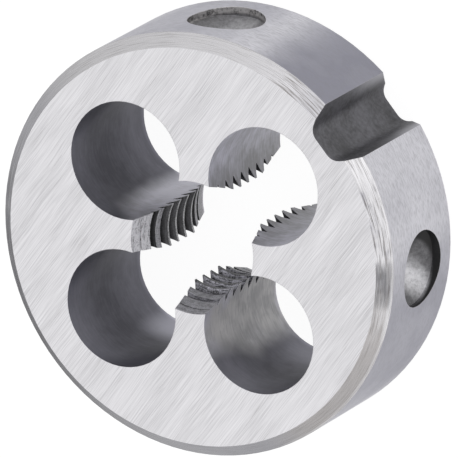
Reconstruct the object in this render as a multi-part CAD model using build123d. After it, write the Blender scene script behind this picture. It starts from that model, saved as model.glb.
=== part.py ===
from build123d import *
import math
import os

# Round threading die of the closed kind, for a right-hand metric fine thread.
# The back face lies on z = 0, the front face is up, and the thread runs round the Z axis.
# Lengths are in millimetres. Angles are in degrees, anticlockwise from +X, seen from the front.

# Blank
die_diameter = 20.0
die_thickness = 7.0
front_chamfer = 0.6             # 45 degree corner between the front face and the rim
back_chamfer = 0.75             # 45 degree corner between the back face and the rim

# Thread
thread_diameter = 6.0           # outside diameter of the bolt that the die cuts
thread_pitch = 0.75
thread_angle = 60.0             # between the two flanks of a tooth
tooth_tip_flat = 0.14           # width of the narrow land that tops a tooth
groove_floor_flat = 0.045       # width of the floor between two teeth
thread_start_angle = 0.0        # where a groove crosses the plane of the back face
groove_pass_share = 0.9         # of the angle between two lands, which one groove pass sweeps over

# Lead-in cones, which start the cut from either face
lead_mouth_clearance = 0.15     # the mouth is this much wider than the bolt, on the radius
lead_half_angle = 15.0          # between the side of the cone and the thread axis

# Chip holes, with a cutting land between each two
chip_hole_count = 4
chip_hole_diameter = 5.6
chip_hole_reach = 0.35          # how far a hole cuts in past the tooth tips
first_chip_angle = 45.0

# Notch along the rim, which leaves a thin web outside the first chip hole
notch_web = 0.95                # between the notch floor and the chip hole
notch_offset_angle = -2.3       # from the middle of the chip hole
notch_floor_width = 1.6         # from wall to wall, before the corners are rounded
notch_wall_angle = 60.0         # between the two walls
notch_corner_radius = 0.65      # between a wall and the floor

# Dimples in the rim, which take the points of the stock's screws
dimple_angles = (-1.2, 92.2, 180.0, 270.0)
dimple_diameter = 3.6
dimple_wall_depth = 0.45        # of the straight wall, before the cone starts
dimple_point_angle = 118.0      # between the sides of the cone

# Cutting bodies stand this far out of the surface that they open
overcut = 1.0

# Sizes that follow from the ones above
die_radius = die_diameter / 2
flank_slope = math.tan(math.radians(thread_angle / 2))
pitch_radius = thread_diameter / 2 - 3 / 8 * thread_pitch / (2 * flank_slope)
tip_radius = pitch_radius - (thread_pitch / 2 - tooth_tip_flat) / (2 * flank_slope)
floor_radius = pitch_radius + (thread_pitch / 2 - groove_floor_flat) / (2 * flank_slope)
chip_hole_radius = chip_hole_diameter / 2
chip_circle_radius = tip_radius - chip_hole_reach + chip_hole_radius
land_spacing = 360 / chip_hole_count


def turned_blank():
    """Disc with both corners of its rim chamfered, revolved from half of its section."""
    with BuildPart() as blank:
        with BuildSketch(Plane.XZ):
            Polygon(
                (0, 0),
                (die_radius - back_chamfer, 0),
                (die_radius, back_chamfer),
                (die_radius, die_thickness - front_chamfer),
                (die_radius - front_chamfer, die_thickness),
                (0, die_thickness),
                align=None,
            )
        revolve(axis=Axis.Z)
    return Rot(0, 0, first_chip_angle) * blank.part


def chip_holes():
    """Straight holes in a ring, each open to the thread along one side."""
    hole = Pos(0, 0, die_thickness / 2) * Cylinder(chip_hole_radius, die_thickness + 2 * overcut)
    ring = PolarLocations(chip_circle_radius, chip_hole_count, start_angle=first_chip_angle)
    return [place * hole for place in ring]


def thread_bore():
    """Straight bore across the tooth tips, opened out to a lead-in cone at each face."""
    lead_slope = math.tan(math.radians(lead_half_angle))
    mouth_radius = thread_diameter / 2 + lead_mouth_clearance
    lead_depth = (mouth_radius - tip_radius) / lead_slope
    end_radius = mouth_radius + overcut * lead_slope
    with BuildPart() as bore:
        with BuildSketch(Plane.XZ):
            Polygon(
                (0, -overcut),
                (end_radius, -overcut),
                (tip_radius, lead_depth),
                (tip_radius, die_thickness - lead_depth),
                (end_radius, die_thickness + overcut),
                (0, die_thickness + overcut),
                align=None,
            )
        revolve(axis=Axis.Z)
    # The seam of the revolve is turned into a chip hole, clear of the teeth
    return Rot(0, 0, first_chip_angle) * bore.part


def groove_pass():
    """One groove across one land: a V with a narrow floor, swept along the helix of the thread.

    It is centred on +X at z = 0, starts and ends in the open space of the chip holes beside the land,
    and its inner edge stands a little way inside the tooth tips.
    """
    pass_angle = groove_pass_share * land_spacing
    pass_rise = thread_pitch * pass_angle / 360
    inner_half_width = thread_pitch / 2 - tooth_tip_flat / 4
    inner_radius = pitch_radius - (inner_half_width - thread_pitch / 4) / flank_slope
    path = Helix(thread_pitch, pass_rise, pitch_radius)
    profile = Plane.XZ * Polygon(
        (inner_radius, -inner_half_width),
        (floor_radius, -groove_floor_flat / 2),
        (floor_radius, groove_floor_flat / 2),
        (inner_radius, inner_half_width),
        align=None,
    )
    groove = sweep(profile, path=path, is_frenet=True)
    return Pos(0, 0, -pass_rise / 2) * Rot(0, 0, -pass_angle / 2) * groove


def thread_grooves():
    """Every pass of the one helical groove, land after land up the thread."""
    groove = groove_pass()
    first_land_angle = first_chip_angle - land_spacing / 2
    grooves = []
    for land in range(chip_hole_count):
        land_angle = first_land_angle + land * land_spacing
        height = thread_pitch * ((land_angle - thread_start_angle) / 360 % 1 - 1)
        while height < die_thickness + thread_pitch / 2:
            grooves.append(Pos(0, 0, height) * Rot(0, 0, land_angle) * groove)
            height += thread_pitch
    return grooves


def rim_notch():
    """Flat-floored V notch with rounded corners, cut through the rim from face to face."""
    wall_slope = math.tan(math.radians(notch_wall_angle / 2))
    floor_distance = chip_circle_radius + chip_hole_radius + notch_web
    outer_distance = die_radius + overcut
    floor_half_width = notch_floor_width / 2
    outer_half_width = floor_half_width + (outer_distance - floor_distance) * wall_slope
    with BuildPart() as notch:
        with BuildSketch(Plane.XY.offset(-overcut)) as outline:
            Polygon(
                (outer_distance, -outer_half_width),
                (outer_distance, outer_half_width),
                (floor_distance, floor_half_width),
                (floor_distance, -floor_half_width),
                align=None,
            )
            floor_corners = outline.vertices().group_by(Axis.X)[0]
            fillet(floor_corners, notch_corner_radius)
        extrude(amount=die_thickness + 2 * overcut)
    return Rot(0, 0, first_chip_angle + notch_offset_angle) * notch.part


def rim_dimples():
    """Drilled recesses round the rim at half the thickness, each a short wall and a drill point."""
    hole_radius = dimple_diameter / 2
    cone_start = die_radius - dimple_wall_depth
    cone_depth = hole_radius / math.tan(math.radians(dimple_point_angle / 2))
    with BuildPart() as dimple:
        with BuildSketch(Plane.XZ):
            Polygon(
                (cone_start - cone_depth, 0),
                (cone_start, hole_radius),
                (die_radius + overcut, hole_radius),
                (die_radius + overcut, 0),
                align=None,
            )
        revolve(axis=Axis.X)
    return [Pos(0, 0, die_thickness / 2) * Rot(0, 0, angle) * dimple.part for angle in dimple_angles]


def threading_die():
    """The whole die, cut from its blank in the order in which a real one is made."""
    die = turned_blank()
    die -= chip_holes()
    die -= thread_bore()
    die -= rim_notch()
    die -= rim_dimples()
    die -= thread_grooves()
    return die


os.makedirs("parts", exist_ok=True)
export_step(threading_die(), "parts/threading_die.step")
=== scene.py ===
import math

import bmesh
import bpy
from mathutils import Matrix, Vector
from mathutils.kdtree import KDTree


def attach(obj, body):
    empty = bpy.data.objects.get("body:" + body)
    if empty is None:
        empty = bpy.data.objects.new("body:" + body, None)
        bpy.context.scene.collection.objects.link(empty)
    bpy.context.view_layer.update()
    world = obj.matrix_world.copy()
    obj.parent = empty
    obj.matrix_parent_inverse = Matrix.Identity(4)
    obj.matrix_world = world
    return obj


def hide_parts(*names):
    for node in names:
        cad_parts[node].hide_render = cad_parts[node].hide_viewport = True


# A round threading die lying on its back on a white studio floor. Lengths in the dictionaries are in mm and
# angles in degrees. Most pairs of numbers say where something begins and where it is complete. A side of the
# die is its angle with such a pair, given as cosines of the turn away from that angle.
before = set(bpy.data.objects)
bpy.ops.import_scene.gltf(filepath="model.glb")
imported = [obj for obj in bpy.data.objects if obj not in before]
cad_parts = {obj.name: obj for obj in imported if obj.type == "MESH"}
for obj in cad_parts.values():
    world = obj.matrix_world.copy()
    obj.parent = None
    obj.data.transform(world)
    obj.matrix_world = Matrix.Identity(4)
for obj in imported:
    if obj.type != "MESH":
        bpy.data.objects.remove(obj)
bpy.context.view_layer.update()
mm = 0.001
print("frame loaded")

# The sizes of the die that its finishes go by
die = {
    "thickness": 7.0,
    "radius": 10.0,
    "chipCircle": 5.003,
    "chipRadius": 2.8,
    "dimpleRadius": 1.8,
    "dimpleAngles": [-1.2, 92.2, 180.0, 270.0],
    "threadReach": 3.2,  # the thread and its lead-in cones lie inside this radius
    "crestReach": 2.57,
    "chamferReach": 9.2,
    "leadAngle": 15.0,
    "near": 0.06,  # how far off a face may lie, or lean, and still count as on its wall
    "level": 0.98,  # the least that a level face's normal points up or down
    "upright": 0.1,  # the most that an upright face's does
    "chamferLean": 0.08,
    "rimOutward": 0.98,
    "chamferOutward": 0.5,
    "mergeGap": 0.0001,
}


class Wire:
    # one output of a shader node, so that shader sums read like sums
    def __init__(self, graph, socket):
        self.graph = graph
        self.socket = socket

    def __add__(self, other):
        return self.graph.join("ADD", self, other)

    def __radd__(self, other):
        return self.graph.join("ADD", other, self)

    def __sub__(self, other):
        return self.graph.join("SUBTRACT", self, other)

    def __rsub__(self, other):
        return self.graph.join("SUBTRACT", other, self)

    def __mul__(self, other):
        return self.graph.join("MULTIPLY", self, other)

    def __rmul__(self, other):
        return self.graph.join("MULTIPLY", other, self)

    def __truediv__(self, other):
        return self.graph.join("DIVIDE", self, other)

    def __rtruediv__(self, other):
        return self.graph.join("DIVIDE", other, self)

    def __abs__(self):
        return self.graph.join("ABSOLUTE", self)

    def between(self, low, high):
        # 0 at low, 1 at high, eased
        ramp = {"Value": self, "From Min": low, "From Max": high}
        return self.graph.node("ShaderNodeMapRange", {"interpolation_type": "SMOOTHSTEP"}, ramp)["Result"]


class Placed:
    # a node that gives its outputs by name or number
    def __init__(self, graph, made):
        self.graph = graph
        self.made = made

    def __getitem__(self, name):
        return Wire(self.graph, self.made.outputs[name])


class Graph:
    # the nodes of one material or of the world
    def __init__(self, owner):
        owner.use_nodes = True
        self.tree = owner.node_tree
        self.tree.nodes.clear()

    def node(self, kind, settings=None, sockets=None):
        made = self.tree.nodes.new(kind)
        for name, value in (settings or {}).items():
            setattr(made, name, value)
        for name, value in (sockets or {}).items():
            if isinstance(value, Wire):
                self.tree.links.new(value.socket, made.inputs[name])
            else:
                made.inputs[name].default_value = value
        return Placed(self, made)

    def join(self, operation, *values):
        return self.node("ShaderNodeMath", {"operation": operation}, dict(enumerate(values)))["Value"]

    def vector(self, x, y, z=0.0):
        return self.node("ShaderNodeCombineXYZ", {}, {"X": x, "Y": y, "Z": z})["Vector"]

    def axes(self, vector):
        parts = self.node("ShaderNodeSeparateXYZ", {}, {"Vector": vector})
        return parts["X"], parts["Y"], parts["Z"]

    def noise(self, place, detail, rough, scale=1.0):
        values = {"Vector": place, "Scale": scale, "Detail": detail, "Roughness": rough}
        return self.node("ShaderNodeTexNoise", {}, values)["Fac"]

    def tint(self, factor, first, second):
        # mixes two colours, each a colour or a wire
        return self.node("ShaderNodeMix", {"data_type": "RGBA"}, {0: factor, 6: first, 7: second})[2]


def grey(level, blue=0.0):
    # a nearly neutral colour, blue for a positive second number and brown for a negative one
    return (level, level * (0.995 + min(blue, 0) / 2), level * (1 + blue), 1)


def placeOf(graph):
    # object coordinates in mm
    place = graph.node("ShaderNodeTexCoord")["Object"]
    return graph.node("ShaderNodeVectorMath", {"operation": "SCALE"}, {0: place, "Scale": 1 / mm})["Vector"]


def reachOf(graph, x, y):
    # how far the point x, y lies from the axis
    return graph.node("ShaderNodeVectorMath", {"operation": "LENGTH"}, {0: graph.vector(x, y)})["Value"]


def sideOf(graph, x, y, side):
    # 1 on one side of the die, eased to 0 round it
    angle, none, full = side
    toward = x * math.cos(math.radians(angle)) + y * math.sin(math.radians(angle))
    return (toward / reachOf(graph, x, y)).between(none, full)


# Every edge of the die is broken by a hair's breadth and rubbed a little brighter
wornEdge = {
    "radius": 0.05,
    "samples": 6,
    "colour": grey(0.75, 0.02),
    "share": 0.5,
    "turn": (0.99, 0.8),
}


def finishSteel(graph, colour, roughness, height, relief, worn=1.0, metallic=1.0, look=wornEdge):
    # the bare steel that every surface of the die ends in; relief is how deep its marks are
    radius = look["radius"] * mm
    broken = graph.node("ShaderNodeBevel", {"samples": look["samples"]}, {"Radius": radius})["Normal"]
    flat = graph.node("ShaderNodeNewGeometry")["Normal"]
    turn = graph.node("ShaderNodeVectorMath", {"operation": "DOT_PRODUCT"}, {0: broken, 1: flat})["Value"]
    colour = graph.tint(turn.between(*look["turn"]) * look["share"] * worn, colour, look["colour"])
    bump = graph.node("ShaderNodeBump", {}, {
        "Strength": 1.0,
        "Distance": relief * mm,
        "Height": height,
        "Normal": broken,
    })["Normal"]
    values = {"Base Color": colour, "Metallic": metallic, "Roughness": roughness, "Normal": bump}
    shader = graph.node("ShaderNodeBsdfPrincipled", {}, values)["BSDF"]
    graph.node("ShaderNodeOutputMaterial", {}, {"Surface": shader})


# The faces, ground flat in straight strokes that cross them at a slant. Each kind of mark has its number in
# the length of a stroke, its width, its slice of the noise, and that noise's detail and roughness.
groundFace = {
    "darkColour": grey(0.58, 0.003),
    "brightColour": grey(0.86, 0.001),
    "scratchColour": grey(0.36, -0.04),
    "strokeAngle": 56.0,
    "strokeLength": 4.0,
    "strokes": (1.0, 0.09, 0.0, 3, 0.6),
    "hairs": (1.7, 0.042, 4.0, 2, 0.6),
    "patches": (0.4, 0.9, 9.0, 2, 0.5),
    "scratches": (1.4, 0.034, 15.0, 2, 0.6),
    "shares": (0.22, 0.58, 0.2),  # of strokes, hairs and patches in the tone
    "tone": (0.28, 0.66),
    "scratched": (0.4, 0.3),
    "scratchedPatches": (0.62, 0.4),
    "scratchShare": 0.65,
    "sway": 0.2,
    "swayScale": 0.3,
    "roughness": 0.36,
    "roughnessSpread": 0.2,
    "relief": 0.001,
}


def paintGroundFace(graph, look):
    place = placeOf(graph)
    turned = graph.node("ShaderNodeMapping", {"vector_type": "TEXTURE"}, {
        "Vector": place,
        "Rotation": (0, 0, math.radians(look["strokeAngle"])),
    })["Vector"]
    x, y = graph.axes(turned)[:2]
    along = x / look["strokeLength"]
    across = y + graph.noise(place, 2, 0.5, look["swayScale"]) * look["sway"]

    def marks(kind):
        number, width, layer, detail, rough = look[kind]
        return graph.noise(graph.vector(along * number, across / width, layer), detail, rough)

    strokes, hairs, patches = marks("strokes"), marks("hairs"), marks("patches")
    strokeShare, hairShare, patchShare = look["shares"]
    tone = strokes * strokeShare + hairs * hairShare + patches * patchShare
    colour = graph.tint(tone.between(*look["tone"]), look["darkColour"], look["brightColour"])
    # the scratches keep to the darker patches
    scratched = marks("scratches").between(*look["scratched"])
    scratched = scratched * patches.between(*look["scratchedPatches"]) * look["scratchShare"]
    colour = graph.tint(scratched, colour, look["scratchColour"])
    roughness = look["roughness"] + (hairs - 0.5) * look["roughnessSpread"]
    finishSteel(graph, colour, roughness, strokes + hairs * 0.6, look["relief"])


# The corner chamfers, turned on a lathe and then worn, most of all on the side that shows its streaks; a
# painted highlight lightens that side and another, and painted shade darkens the side where the die's shadow
# lies
turnedChamfer = {
    "colour": grey(0.45, 0.05),
    "darkColour": grey(0.2, -0.12),
    "brightColour": grey(0.98, 0.0),
    "wornColour": grey(0.72, -0.01),
    "blendedColour": grey(0.76, -0.01),
    "duskColour": grey(0.23, 0.12),
    "tarnishedColour": grey(0.56, -0.07),
    "scratchedColour": grey(0.22, 0.02),
    "wornSide": (16.0, 0.78, 0.96),
    "wornShare": 0.9,
    "blendedSide": (98.0, 0.6, 0.95),
    "blendedShare": 0.85,
    "tarnishedSide": (-32.0, 0.82, 0.97),
    "tarnishedShare": 0.9,
    "duskSide": (-163.0, 0.7, 1.0),
    "nickedSide": (57.0, 0.98, 0.999),
    "scratchedSide": (-1.0, 0.985, 1.0),
    "scratchedEnds": 1.2,  # how ragged they are
    "scratched": (0.4, 1.15),
    "streakWidth": 0.04,
    "wideStreakWidth": 0.12,
    "streakLength": 1.3,
    "slopeStretch": 1.414,
    "dark": (0.5, 0.32),
    "darkShares": (0.3, 0.4, 0.3),  # all round, on the worn side, and in its clouds
    "darkClouds": (0.45, 0.65),
    "nickedDark": (0.6, 0.38),
    "nickedShare": 0.6,
    "duskDark": (0.55, 0.35),
    "duskShare": 0.5,
    "bright": (0.44, 0.6),
    "brightShares": (0.05, 0.6, 0.25),  # all round, on the worn side and on the side in painted shade
    "wornClouds": (0.7, 0.45),
    "sway": 0.12,
    "swayLength": 2.0,
    "cloudScale": 1.1,
    "lip": (-3.3, -3.55),
    "roughness": 0.26,
    "roughnessSpread": 0.15,
    "relief": 0.004,
}


def paintTurnedChamfer(graph, look):
    place = placeOf(graph)
    x, y, z = graph.axes(place)
    sway = graph.noise(graph.vector(x / look["swayLength"], y / look["swayLength"], 3.0), 2, 0.5)
    # the same height up the slope at the front and at the back chamfer
    half = die["thickness"] / 2
    slope = abs(z - half) + half - reachOf(graph, x, y)
    level = slope / look["slopeStretch"] + sway * look["sway"]
    along = 1 / look["streakLength"]
    fine = graph.noise(graph.vector(x * along, y * along, level / look["streakWidth"]), 3, 0.6)
    wide = graph.noise(graph.vector(x * along, y * along, level / look["wideStreakWidth"] + 7.0), 2, 0.5)
    cloud = graph.noise(place, 2, 0.6, look["cloudScale"])
    # painted highlight: two sides of the ring are made lighter, one of them the worn side, whose streaks are
    # real
    worn = sideOf(graph, x, y, look["wornSide"])
    highlighted = sideOf(graph, x, y, look["blendedSide"])
    tarnished = sideOf(graph, x, y, look["tarnishedSide"])
    # painted shade: the side where the die's shadow lies is darker, with darker streaks
    castShaded = sideOf(graph, x, y, look["duskSide"])
    nicked = sideOf(graph, x, y, look["nickedSide"])
    # the scratched patch is on the front chamfer alone, and its ends are ragged
    scratched = sideOf(graph, x, y, look["scratchedSide"]) + (fine - 0.5) * look["scratchedEnds"]
    scratched = scratched.between(*look["scratched"]) * z.between(half - 0.5, half + 0.5)
    lip = slope.between(*look["lip"]) * (worn * 0.5 + tarnished * 0.5)
    # dark and bright streaks run all round, and are strongest on the worn side
    allRound, onWorn, cloudy = look["darkShares"]
    dark = worn * onWorn + allRound + cloud.between(*look["darkClouds"]) * worn * cloudy
    dark = dark * fine.between(*look["dark"])
    dark = dark + fine.between(*look["nickedDark"]) * nicked * look["nickedShare"]
    dark = dark + fine.between(*look["duskDark"]) * castShaded * look["duskShare"]
    allRound, onWorn, onCastShaded = look["brightShares"]
    bright = (wide * 0.4 + fine * 0.6).between(*look["bright"])
    bright = bright * (worn * onWorn + castShaded * onCastShaded + allRound)
    colour = look["colour"]
    for factor, layer in [
        (highlighted * look["blendedShare"], "blendedColour"),
        (worn * cloud.between(*look["wornClouds"]) * look["wornShare"], "wornColour"),
        (tarnished * look["tarnishedShare"], "tarnishedColour"),
        (castShaded, "duskColour"),
        (dark, "darkColour"),
        (bright, "brightColour"),
        (scratched * (fine.between(0.35, 0.6) * 0.6 + 0.35), "scratchedColour"),
        (lip * fine.between(0.3, 0.5), "brightColour"),
    ]:
        colour = graph.tint(factor, colour, look[layer])
    roughness = look["roughness"] + (fine - 0.5) * look["roughnessSpread"]
    finishSteel(graph, colour, roughness, fine + wide, look["relief"])


# The rim, ground on centres to a satin grain, with sides painted duller and bluer as painted shade: where
# such a side lies, its half width and its share
satinRim = {
    "colour": grey(0.87, 0.04),
    "dullColour": grey(0.42, 0.14),
    "grainColour": grey(0.36, 0.05),
    "dullSides": [(-22.0, 33.0, 0.62), (56.0, 22.0, 0.95), (101.0, 24.0, 0.45)],
    "grain": (0.6, 0.3),
    "grainShare": 0.35,
    "grainWidth": 0.06,
    "grainLength": 0.32,
    "cloud": (0.6, 0.35),
    "cloudShare": 0.15,
    "cloudScale": 0.4,
    "roughness": 0.6,
    "roughnessSpread": 0.12,
    "relief": 0.001,
}


def paintSatinRim(graph, look):
    place = placeOf(graph)
    x, y, z = graph.axes(place)
    turns = graph.vector(x / look["grainLength"], y / look["grainLength"], z / look["grainWidth"])
    grain = graph.noise(turns, 2, 0.6)
    dull = graph.noise(place, 3, 0.5, look["cloudScale"]).between(*look["cloud"]) * look["cloudShare"]
    # painted shade: each side listed darkens and blues the rim
    for angle, width, share in look["dullSides"]:
        dull = dull + sideOf(graph, x, y, (angle, math.cos(math.radians(width)), 1.0)) * share
    colour = graph.tint(dull, look["colour"], look["dullColour"])
    colour = graph.tint(grain.between(*look["grain"]) * look["grainShare"], colour, look["grainColour"])
    roughness = look["roughness"] + (grain - 0.5) * look["roughnessSpread"]
    finishSteel(graph, colour, roughness, grain, look["relief"])


# The chip holes, left dark by the hardening and bright beside the teeth, partly rubbed steel and partly a
# painted reflection, three of them more than the fourth: where such a hole lies, how much further it is
# brightened, how much dimmer it stays, and how much dimmer still towards the front, the dimming being painted
# shade
chipHole = {
    "darkColour": grey(0.11, 0.16),
    "middleColour": grey(0.3, 0.15),
    "shadedColour": grey(0.5, 0.02),
    "cleanedColour": grey(0.85, 0.12),
    "rubbedColour": grey(0.93, 0.08),
    "oilyColour": grey(0.9, -0.02),
    "rubbed": (5.1, 3.75),
    "rubbedHoles": [(-45.0, 0.45, 0.72, -1.3), (45.0, 2.5, 0.42, -0.8), (-135.0, 1.1, 0.45, -0.5)],
    "holeSpan": (0.6, 0.8),
    "front": (3.0, 6.5),
    "frontDim": 0.6,
    "oilySide": (-55.0, 0.7, 0.9),
    "oilyRubbedSide": (-55.0, 0.6, 0.8),
    "oilyBack": (6.5, 3.0),
    "oilyReach": 0.9,
    "mouth": (5.4, 7.0),
    "mouthSide": (180.0, 0.0, 0.6),
    "mouthReach": 0.9,
    "shadedSide": (45.0, 0.6, 0.8),
    "shaded": (4.5, 2.9),
    "shadedDim": 0.5,
    "streakDim": 0.7,
    "palerBack": (3.6, 0.3),
    "palerFront": (4.6, 7.0),
    "palerSide": (0.0, -3.0),
    "palerTop": (3.8, 6.0),
    "cleanedBottom": (-5.7, -6.35),
    "cleanedBack": (3.2, 1.0),
    "cleanedLeft": (2.5, -2.5),
    "cloudScale": 0.35,
    "smearScale": 1.1,
    "rings": (0.3, 0.7),
    "smears": (0.35, 0.65),
    "oily": (0.35, 0.55),
    "ringScales": (1.2, 9.0),  # of the drilled rings, round the hole and down it
    "edgeSway": (1.2, 0.3),  # how far clouds and rings push the edge of the rubbed steel about
    "roughness": 0.38,
    "relief": 0.0012,
}


def paintChipHole(graph, look):
    place = placeOf(graph)
    x, y, z = graph.axes(place)
    around, down = look["ringScales"]
    cloud = graph.noise(place, 2, 0.5, look["cloudScale"])
    bore = graph.noise(graph.vector(x * around, y * around, z * down), 2, 0.6)
    smears = graph.noise(place, 3, 0.6, look["smearScale"])
    streaks = (bore.between(*look["rings"]) + smears.between(*look["smears"])) * 0.5
    reach = reachOf(graph, x, y)
    front = z.between(*look["front"])
    # the bright steel ends at an uneven reach, sooner at the mouths on one side, and is dimmed towards the
    # front by painted shade
    cloudSway, ringSway = look["edgeSway"]
    edge = reach + (cloud - 0.5) * cloudSway + (bore - 0.5) * ringSway
    edge = edge + z.between(*look["mouth"]) * sideOf(graph, x, y, look["mouthSide"]) * look["mouthReach"]
    dim = front * look["frontDim"]
    for angle, more, dimmer, frontMore in look["rubbedHoles"]:
        here = sideOf(graph, x, y, (angle, *look["holeSpan"]))
        edge = edge - here * more
        dim = dim + here * (front * frontMore + dimmer)
    oilyRubbed = sideOf(graph, x, y, look["oilyRubbedSide"]) * z.between(*look["oilyBack"])
    rubbed = (edge - oilyRubbed * look["oilyReach"]).between(*look["rubbed"])
    # the dull steel, darkest half way down the hole and paler towards both ends and the lower front, as
    # painted shade
    lower = y.between(*look["palerSide"]) * z.between(*look["palerTop"])
    paler = z.between(*look["palerBack"]) * 0.55 + z.between(*look["palerFront"]) * 0.5
    paler = paler + lower * 0.25 + streaks * 0.3 - 0.07
    dull = graph.tint(paler, look["darkColour"], look["middleColour"])
    # painted highlight: the lower two holes are paler and bluer towards the back
    backHighlight = y.between(*look["cleanedBottom"]) * z.between(*look["cleanedBack"])
    backHighlight = backHighlight * (x.between(*look["cleanedLeft"]) * 0.4 + 0.2)
    dull = graph.tint(backHighlight, dull, look["cleanedColour"])
    # the bright steel, with a trace of oil in one hole, and painted shade in another and wherever it is
    # dimmed
    shaded = reach.between(*look["shaded"]) * sideOf(graph, x, y, look["shadedSide"])
    oily = sideOf(graph, x, y, look["oilySide"]) * cloud.between(*look["oily"])
    bright = graph.tint(oily, look["rubbedColour"], look["oilyColour"])
    dim = dim + shaded * look["shadedDim"] + (0.5 - streaks) * look["streakDim"]
    bright = graph.tint(dim, bright, look["shadedColour"])
    roughness = look["roughness"] + rubbed * 0.15 + (bore - 0.5) * 0.08
    finishSteel(graph, graph.tint(rubbed, dull, bright), roughness, bore, look["relief"])


# The notch, milled and left dull, with a paler lip towards the rim
notch = {
    "darkColour": grey(0.12, 0.03),
    "paleColour": grey(0.24, 0.07),
    "lipColour": grey(0.6, 0.06),
    "lip": (9.2, 10.0),
    "lipBack": (5.6, 0.0),
    "tone": (0.3, 0.7),
    "mottleScale": 5.0,
    "cloudScale": 0.6,
    "roughness": 0.55,
    "relief": 0.006,
}


def paintNotch(graph, look):
    place = placeOf(graph)
    x, y, z = graph.axes(place)
    mottle = graph.noise(place, 4, 0.6, look["mottleScale"])
    cloud = graph.noise(place, 2, 0.5, look["cloudScale"])
    tone = (mottle * 0.5 + cloud * 0.5).between(*look["tone"])
    colour = graph.tint(tone, look["darkColour"], look["paleColour"])
    lip = reachOf(graph, x, y).between(*look["lip"]) * z.between(*look["lipBack"])
    colour = graph.tint(lip, colour, look["lipColour"])
    finishSteel(graph, colour, look["roughness"], mottle, look["relief"])


# The screw dimples: a drilled wall darkened as painted shade, and a dark cone with a painted highlight off
# the middle
screwDimple = {
    "wallColour": grey(0.06, 0.0),
    "scuffedWallColour": grey(0.7, -0.04),
    "coneColour": grey(0.25, 0.03),
    "rubbedColour": grey(0.98, 0.02),
    "scuffedSide": (92.0, 0.5, 0.9),
    "patches": (0.32, 0.56),
    "patchDepth": (0.22, 0.4),
    "spot": (1.3, 0.15),
    "spotOff": (-0.15, -0.65, -0.5),
    "spotLean": 0.5,
    "spotSquash": 0.65,
    "spotRagged": 0.8,
    "wall": (0.5, 0.3),
    "wallLean": 0.18,
    "wallRise": 0.05,
    "wornDepth": (0.3, 0.1),
    "besideReach": (8.0, 8.1),
    "mottleScale": 6.0,
    "blotchScale": 1.8,
    "roughness": 0.42,
    "relief": 0.004,
}


def paintScrewDimple(graph, look):
    place = placeOf(graph)
    x, y, z = graph.axes(place)
    offX, offY, offZ = look["spotOff"]
    side = 0.0
    for angle in die["dimpleAngles"]:
        # how far round the rim from the dimple's bright spot, counted in that dimple alone
        across, along = math.cos(math.radians(angle)), math.sin(math.radians(angle))
        here = (x * across + y * along).between(*look["besideReach"])
        side = side + (y * across - x * along - (offY * across - offX * along)) * here
    rise = z - die["thickness"] / 2 - offZ
    away = reachOf(graph, side - rise * look["spotLean"], rise * look["spotSquash"])
    depth = die["radius"] - reachOf(graph, x, y)
    mottle = graph.noise(place, 3, 0.75, look["mottleScale"])
    blotch = graph.noise(place, 2, 0.5, look["blotchScale"])
    scuffed = sideOf(graph, x, y, look["scuffedSide"])
    # the bright spot in the cone, a painted highlight, weak in the scuffed dimple
    rubbed = (away + (blotch - 0.5) * look["spotRagged"]).between(*look["spot"])
    rubbed = rubbed * (mottle.between(0.25, 0.65) * 0.4 + 0.6) * (1 - scuffed * 0.65) + scuffed * 0.05
    dull = graph.tint(mottle.between(0.7, 0.3) * 0.5, look["coneColour"], look["wallColour"])
    cone = graph.tint(rubbed, dull, look["rubbedColour"])
    # the wall, darkened as painted shade, patchy and bright near the rim in the scuffed dimple
    patchy = scuffed * (mottle * 0.6 + blotch * 0.4).between(*look["patches"])
    patchy = patchy * (1 - depth.between(*look["patchDepth"]) * 0.8)
    wall = graph.tint(patchy, look["wallColour"], look["scuffedWallColour"])
    above = (depth - side * (1 - scuffed) * look["wallLean"] + look["wallRise"]).between(*look["wall"])
    colour = graph.tint(above, cone, wall)
    worn = depth.between(*look["wornDepth"])
    finishSteel(graph, colour, look["roughness"], mottle, look["relief"], worn, 1 - rubbed * 0.3)


# The teeth, dark and torn in the depth of the thread, rubbed along their tips and in the lead-in cones
cutTeeth = {
    "rootColour": grey(0.012, 0.0),
    "tipColour": grey(0.065, 0.0),
    "tornColour": grey(0.5, 0.09),
    "crestColour": grey(0.75, 0.02),
    "coneColour": grey(0.98, 0.02),
    "scuffColour": grey(0.66, 0.04),
    "tornSide": (-90.0, 0.6, 0.8),
    "scuffedSide": (180.0, 0.4, 0.8),
    "depth": (2.5, 2.9),
    "grooveBack": (4.7, 5.4),
    "grooveFront": (6.3, 6.0),
    "scuffedEnds": (2.4, 2.9),  # both counted from the middle of the thickness
    "brightEnds": (1.7, 2.4),
    "torn": (0.4, 0.6),
    "grooveTorn": (0.25, 0.6),
    "scuffed": (0.3, 0.6),
    "scuffedShare": 0.8,
    "crestBare": (0.3, 0.6),
    "coneBare": (0.28, 0.46),
    "coneTorn": (0.42, 0.5),
    "coneDark": (0.6, 0.4),
    "coneScales": (1.5, 12.0),  # of the scuffs in the cones, round the bore and down it
    "tearWidth": 0.07,
    "tearTurn": 0.14,  # how far round the axis a tear runs, in radians
    "tearShares": (0.55, 0.45),  # of the tears and of a fine grain
    "grainSize": 0.07,
    "roughness": 0.4,
    "crestRoughness": 0.35,
    "coneRoughness": 0.62,
    "relief": 0.006,
    "crestRelief": 0.003,
}


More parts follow.
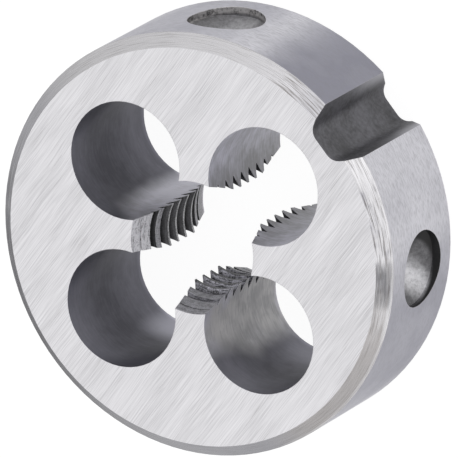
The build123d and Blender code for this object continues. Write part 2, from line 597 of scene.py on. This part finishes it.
def tearsOf(graph, x, y, z, look):
    # long marks round the axis; the turn is counted so that its jump lies inside a chip hole
    turn = graph.join("ARCTAN2", y - x, x + y) / look["tearTurn"]
    reach = reachOf(graph, x, y)
    tears = graph.noise(graph.vector(turn, reach / look["tearWidth"], z / look["tearWidth"]), 3, 0.6)
    grains = graph.noise(graph.vector(x, y, z), 2, 0.6, 1 / look["grainSize"])
    tearShare, grainShare = look["tearShares"]
    return tears * tearShare + grains * grainShare


def endsOf(z, span):
    # 1 by either face of the die, eased to 0 towards the middle of its thickness
    return abs(z - die["thickness"] / 2).between(*span)


def paintThread(graph, look):
    x, y, z = graph.axes(placeOf(graph))
    tears = tearsOf(graph, x, y, z, look)
    # the teeth darken from tip to root, partly a dark oxide and partly painted shade in the deep grooves
    deep = reachOf(graph, x, y).between(*look["depth"])
    colour = graph.tint(deep, look["tipColour"], look["rootColour"])
    tornLand = sideOf(graph, x, y, look["tornSide"])
    torn = (tornLand * 0.85 + 0.1) * (1 - deep * 0.8)
    colour = graph.tint(tears.between(*look["torn"]) * torn, colour, look["tornColour"])
    # on that land the second groove from the front is rubbed as well
    groove = z.between(*look["grooveBack"]) * z.between(*look["grooveFront"])
    rubbed = tornLand * groove * (0.6 - deep * 0.4)
    colour = graph.tint(tears.between(*look["grooveTorn"]) * rubbed, colour, look["tornColour"])
    scuffed = sideOf(graph, x, y, look["scuffedSide"]) * endsOf(z, look["scuffedEnds"])
    scuffed = scuffed * tears.between(*look["scuffed"]) * look["scuffedShare"]
    colour = graph.tint(scuffed, colour, look["scuffColour"])
    roughness = look["roughness"] + (tears - 0.5) * 0.2
    finishSteel(graph, colour, roughness, tears, look["relief"])


def paintCrest(graph, look):
    x, y, z = graph.axes(placeOf(graph))
    tears = tearsOf(graph, x, y, z, look)
    bare = tears.between(*look["crestBare"]) * (1 - sideOf(graph, x, y, look["tornSide"]) * 0.8)
    colour = graph.tint(bare, look["tipColour"], look["crestColour"])
    finishSteel(graph, colour, look["crestRoughness"], tears, look["crestRelief"])


def paintCone(graph, look):
    x, y, z = graph.axes(placeOf(graph))
    around, down = look["coneScales"]
    scuffs = graph.noise(graph.vector(x * around, y * around, z * down), 3, 0.65)
    tears = tearsOf(graph, x, y, z, look)
    bare = scuffs.between(*look["coneBare"]) * (sideOf(graph, x, y, look["scuffedSide"]) * 0.85 + 0.15)
    bare = bare * (endsOf(z, look["brightEnds"]) * 0.75 + 0.25)
    bare = bare * (tears.between(*look["coneTorn"]) * 0.6 + 0.4)
    dark = graph.tint(tears.between(*look["coneDark"]) * 0.45, look["scuffColour"], look["tipColour"])
    colour = graph.tint(bare, dark, look["coneColour"])
    finishSteel(graph, colour, look["coneRoughness"], scuffs, look["relief"], 1.0, 1 - bare * 0.5)


# Every finish with what paints it and the values for that, in the order of the material slots
finishes = {
    "groundFace": (paintGroundFace, groundFace),
    "turnedChamfer": (paintTurnedChamfer, turnedChamfer),
    "satinRim": (paintSatinRim, satinRim),
    "chipHole": (paintChipHole, chipHole),
    "notch": (paintNotch, notch),
    "screwDimple": (paintScrewDimple, screwDimple),
    "thread": (paintThread, cutTeeth),
    "crest": (paintCrest, cutTeeth),
    "cone": (paintCone, cutTeeth),
}


def finishOf(face, look):
    # which finish a face of the die has, from where it lies and where it points
    centre = face.calc_center_median() / mm
    reach = math.hypot(centre.x, centre.y)
    outward = (centre.x * face.normal.x + centre.y * face.normal.y) / reach
    tilt = abs(face.normal.z)
    level, upright = tilt > look["level"], tilt < look["upright"]
    chamfered = abs(tilt - math.sqrt(0.5)) < look["chamferLean"] and reach > look["chamferReach"]
    if reach < look["threadReach"]:
        if level:
            return "groundFace"
        if abs(tilt - math.sin(math.radians(look["leadAngle"]))) < look["near"]:
            return "cone"
        if upright and reach < look["crestReach"]:
            return "crest"
    if level and min(centre.z, look["thickness"] - centre.z) < look["near"]:
        return "groundFace"
    chipPlace = look["chipCircle"] * math.sqrt(0.5)
    chip = math.hypot(abs(centre.x) - chipPlace, abs(centre.y) - chipPlace)
    if upright and abs(chip - look["chipRadius"]) < look["near"]:
        return "chipHole"
    if reach < look["threadReach"]:
        return "thread"
    if chamfered and outward > look["chamferOutward"]:
        return "turnedChamfer"
    if abs(reach - look["radius"]) < look["near"] and outward > look["rimOutward"]:
        return "satinRim"
    for angle in look["dimpleAngles"]:
        turned = Matrix.Rotation(math.radians(-angle), 4, "Z") @ centre
        beside = math.hypot(turned.y, turned.z - look["thickness"] / 2)
        if turned.x > 0 and beside < look["dimpleRadius"] + look["near"]:
            return "screwDimple"
    return "notch"


def cornerPoint(mesh, loop):
    return mesh.vertices[mesh.loops[loop].vertex_index].co


def carryNormals(mesh, source):
    # the CAD mesh knows how its curved walls point at each corner, and the merged copy takes that over
    tree = KDTree(len(source.polygons))
    for polygon in source.polygons:
        tree.insert(polygon.center, polygon.index)
    tree.balance()
    corners = source.corner_normals
    normals = [None] * len(mesh.loops)
    for polygon in mesh.polygons:
        near = source.polygons[tree.find(polygon.center)[1]].loop_indices
        for loop in polygon.loop_indices:
            point = cornerPoint(mesh, loop)
            best = min(near, key=lambda corner: (cornerPoint(source, corner) - point).length)
            normals[loop] = corners[best].vector.copy()
    mesh.normals_split_custom_set(normals)


def makeDie(look):
    # the CAD solid, merged, with a finish for each of its faces
    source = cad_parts["threading_die"].data
    mesh = bpy.data.meshes.new("dieBody")
    order = list(finishes)
    bm = bmesh.new()
    bm.from_mesh(source)
    bmesh.ops.remove_doubles(bm, verts=bm.verts, dist=look["mergeGap"] * mm)
    for face in bm.faces:
        face.material_index = order.index(finishOf(face, look))
        face.smooth = True
    bm.to_mesh(mesh)
    bm.free()
    leftover = mesh.attributes.get("custom_normal")
    if leftover:
        mesh.attributes.remove(leftover)
    carryNormals(mesh, source)
    body = bpy.data.objects.new("dieBody", mesh)
    bpy.context.scene.collection.objects.link(body)
    for name, (paint, values) in finishes.items():
        steel = bpy.data.materials.new(name + "Steel")
        paint(Graph(steel), values)
        mesh.materials.append(steel)
    counts = {name: sum(p.material_index == i for p in mesh.polygons) for i, name in enumerate(order)}
    print("die", len(mesh.vertices), "points", counts)
    return body


body = makeDie(die)
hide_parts("threading_die")
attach(body, "root")
print("die finished")

# The floor: white to the camera, with the die's shadow. Metal shows it too, with a painted shade under the
# die and a painted shadow behind it, set into the glow that metal sees.
whiteFloor = {
    "size": 3000.0,
    "gap": 0.02,
    "colour": grey(0.14),
    "roughness": 0.9,
    "glow": 0.93,
    "openGlow": 0.58,
    "underGlow": 0.46,
    "under": (10.5, 8.0),
    "castGlow": 0.12,
    "castPlace": (-10.0, -6.0),
    "cast": (17.0, 7.0),
    "resting": (0.4, 0.2),
}


def makeFloor(look):
    bm = bmesh.new()
    drop = Matrix.Translation((0, 0, -look["gap"] * mm))
    bmesh.ops.create_grid(bm, x_segments=1, y_segments=1, size=look["size"] / 2 * mm, matrix=drop)
    mesh = bpy.data.meshes.new("studioFloor")
    bm.to_mesh(mesh)
    bm.free()
    floor = bpy.data.objects.new("studioFloor", mesh)
    bpy.context.scene.collection.objects.link(floor)
    material = bpy.data.materials.new("whiteFloor")
    graph = Graph(material)
    x, y = graph.axes(placeOf(graph))[:2]
    castX, castY = look["castPlace"]
    under = reachOf(graph, x, y).between(*look["under"])
    cast = reachOf(graph, x - castX, y - castY).between(*look["cast"])
    mirrored = look["openGlow"] + cast * (look["castGlow"] - look["openGlow"])
    mirrored = mirrored + under * (look["underGlow"] - mirrored)
    ray = graph.node("ShaderNodeLightPath")
    seen = (ray["Is Camera Ray"] + ray["Is Transmission Ray"]) * look["glow"]
    seen = seen + ray["Is Glossy Ray"] * mirrored
    solid = graph.node("ShaderNodeBsdfPrincipled", {}, {
        "Base Color": look["colour"],
        "Roughness": look["roughness"],
        "Specular IOR Level": 0.0,
        "Emission Color": graph.tint(seen, (0, 0, 0, 1), (1, 1, 1, 1)),
        "Emission Strength": 1.0,
    })["BSDF"]
    # seen from below, or by the back face that rests on it, the floor is clear, so that the back is lit too
    longest, shortest = look["resting"]
    resting = ray["Ray Length"].between(longest * mm, shortest * mm)
    clear = graph.join("MAXIMUM", resting, graph.node("ShaderNodeNewGeometry")["Backfacing"])
    nothing = graph.node("ShaderNodeBsdfTransparent")["BSDF"]
    shader = graph.node("ShaderNodeMixShader", {}, {0: clear, 1: solid, 2: nothing})["Shader"]
    graph.node("ShaderNodeOutputMaterial", {}, {"Surface": shader})
    mesh.materials.append(material)


# A pale sky, brighter overhead, that the camera sees as white
paleSky = {
    "horizonColour": grey(0.62, 0.02),
    "zenithColour": grey(0.95, 0.02),
    "heights": (-0.1, 0.6),
}


def makeSky(look):
    world = bpy.data.worlds.new("paleWorld")
    bpy.context.scene.world = world
    graph = Graph(world)
    height = graph.axes(graph.node("ShaderNodeTexCoord")["Generated"])[2]
    sky = graph.tint(height.between(*look["heights"]), look["horizonColour"], look["zenithColour"])
    colour = graph.tint(graph.node("ShaderNodeLightPath")["Is Camera Ray"], sky, (1, 1, 1, 1))
    shade = graph.node("ShaderNodeBackground", {}, {"Color": colour, "Strength": 1.0})["Background"]
    graph.node("ShaderNodeOutputWorld", {}, {"Surface": shade})


# One round soft box above the camera's side
softBox = {
    "towards": (0.45, 0.70, 0.50),
    "distance": 300.0,
    "width": 260.0,
    "glow": 0.35,
}


def makeSoftBox(look):
    lamp = bpy.data.lights.new("cameraSideBox", "AREA")
    lamp.shape = "DISK"
    lamp.size = look["width"] * mm
    area = math.pi * (lamp.size / 2) ** 2
    lamp.energy = look["glow"] * math.pi * area
    box = bpy.data.objects.new("cameraSideBox", lamp)
    bpy.context.scene.collection.objects.link(box)
    towards = Vector(look["towards"]).normalized()
    turn = towards.to_track_quat("Z", "Y").to_matrix().to_4x4()
    box.matrix_world = Matrix.Translation(towards * look["distance"] * mm) @ turn


makeFloor(whiteFloor)
makeSky(paleSky)
makeSoftBox(softBox)
print("studio ready")

# The photograph's view: nearly parallel, from the front right and above, and rolled
view = {
    "lens": 1000.0,
    "sensor": 36.0,
    "clipStart": 10.0,
    "turn": 125.725,
    "tip": 32.553,
    "roll": -119.594,
    "aim": (0.0593, -0.0649, 3.5),
    "distance": 580.666,
}


def makeCamera(look):
    data = bpy.data.cameras.new("photoCamera")
    data.lens = look["lens"]
    data.sensor_width = look["sensor"]
    data.clip_start = look["clipStart"] * mm
    camera = bpy.data.objects.new("photoCamera", data)
    bpy.context.scene.collection.objects.link(camera)
    turn = Matrix.Rotation(math.radians(look["turn"]), 4, "Z")
    tip = Matrix.Rotation(math.radians(look["tip"]), 4, "X")
    roll = Matrix.Rotation(math.radians(look["roll"]), 4, "Z")
    back = Matrix.Translation((0, 0, look["distance"] * mm))
    camera.matrix_world = Matrix.Translation(Vector(look["aim"]) * mm) @ turn @ tip @ roll @ back
    bpy.context.scene.camera = camera


makeCamera(view)
bpy.context.scene.view_settings.view_transform = "Standard"
print("camera ready")
